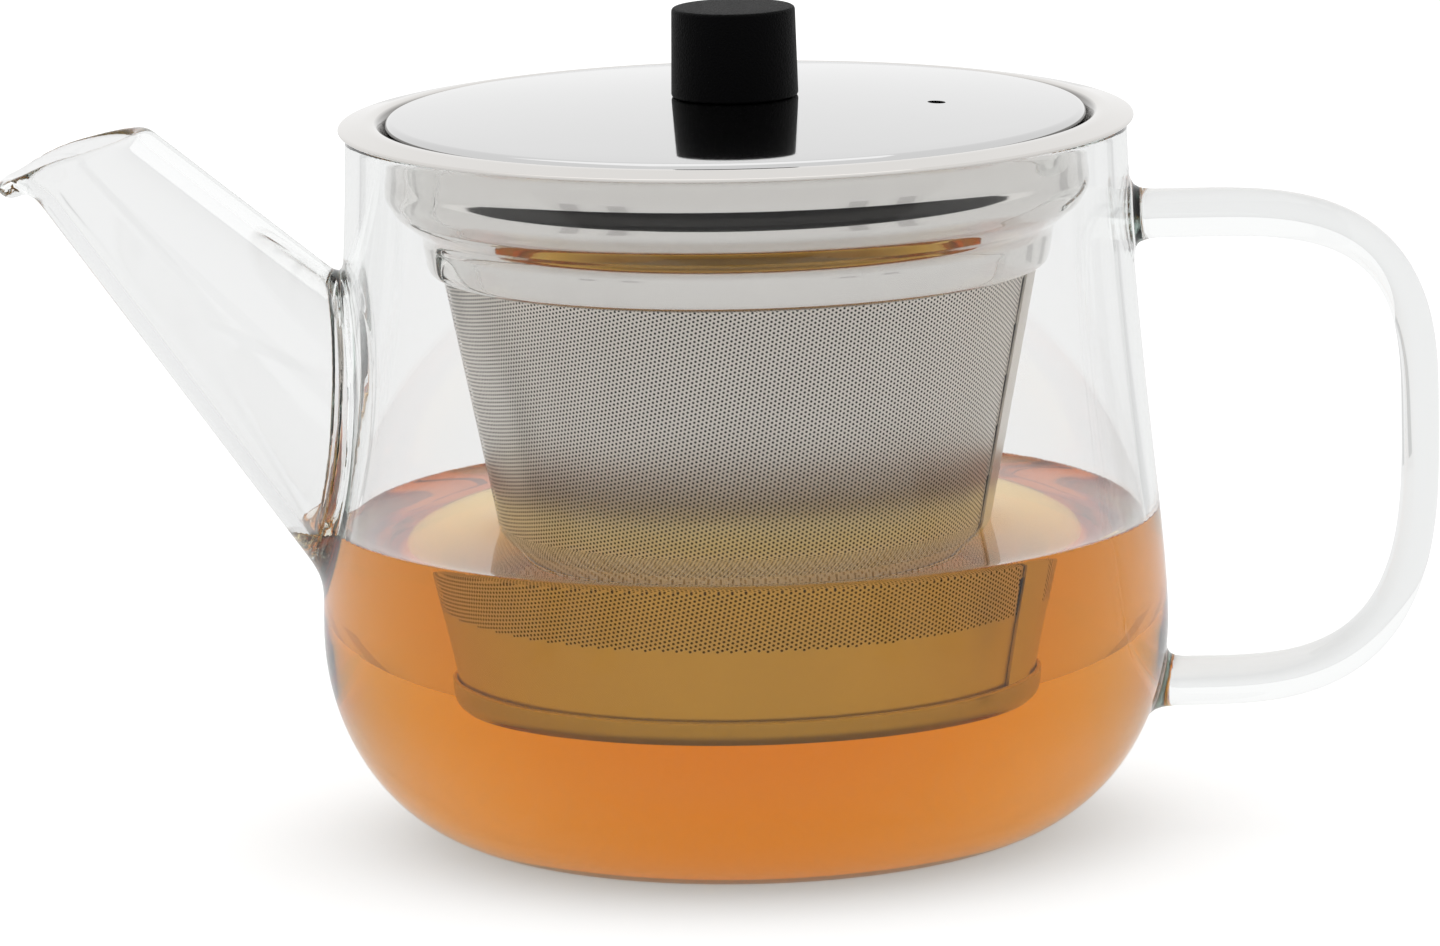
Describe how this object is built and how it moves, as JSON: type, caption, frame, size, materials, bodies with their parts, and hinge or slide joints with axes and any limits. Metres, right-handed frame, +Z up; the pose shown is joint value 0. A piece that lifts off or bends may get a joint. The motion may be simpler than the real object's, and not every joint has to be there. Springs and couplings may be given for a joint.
{
  "type": "glass teapot",
  "caption": "Clear glass teapot with a straight tapered spout, a loop handle, a lift-out perforated steel infuser and a domed steel lid with a black knob.",
  "frame": {"origin": "middle of the flat foot, on the glass body's own axis, at table height", "axes": "+Z up along the body's axis, +X towards the handle, spout along -X"},
  "size_m": [0.1744, 0.1032, 0.1015],
  "materials": {
    "clear_glass": "clear blown borosilicate glass, fire-polished edges",
    "polished_steel": "mirror-polished stainless steel",
    "satin_steel": "satin stainless steel",
    "perforated_steel": "stainless sheet with a fine hexagonal lattice of etched holes",
    "black_plastic": "black moulded plastic with a fine texture",
    "brass": "machined brass",
    "silicone": "translucent white silicone",
    "tea": "clear amber brewed tea"
  },
  "bodies": {
    "pot": {"glass_body": "clear_glass", "glass_spout": "clear_glass", "glass_handle": "clear_glass"},
    "infuser": {"infuser_rim": "polished_steel", "basket_mesh": "perforated_steel", "basket_bottom": "satin_steel"},
    "lid": {"lid_disc": "polished_steel", "knob": "black_plastic", "knob_insert": "brass", "knob_screw": "satin_steel", "knob_washer": "silicone"}
  },
  "joints": [
    {"name": "infuser_lift", "type": "slide", "parent": "pot", "child": "infuser", "axis": [0, 0, 1], "range_m": [0, 0.075]},
    {"name": "lid_lift", "type": "slide", "parent": "infuser", "child": "lid", "axis": [0, 0, 1], "range_m": [0, 0.03]}
  ]
}
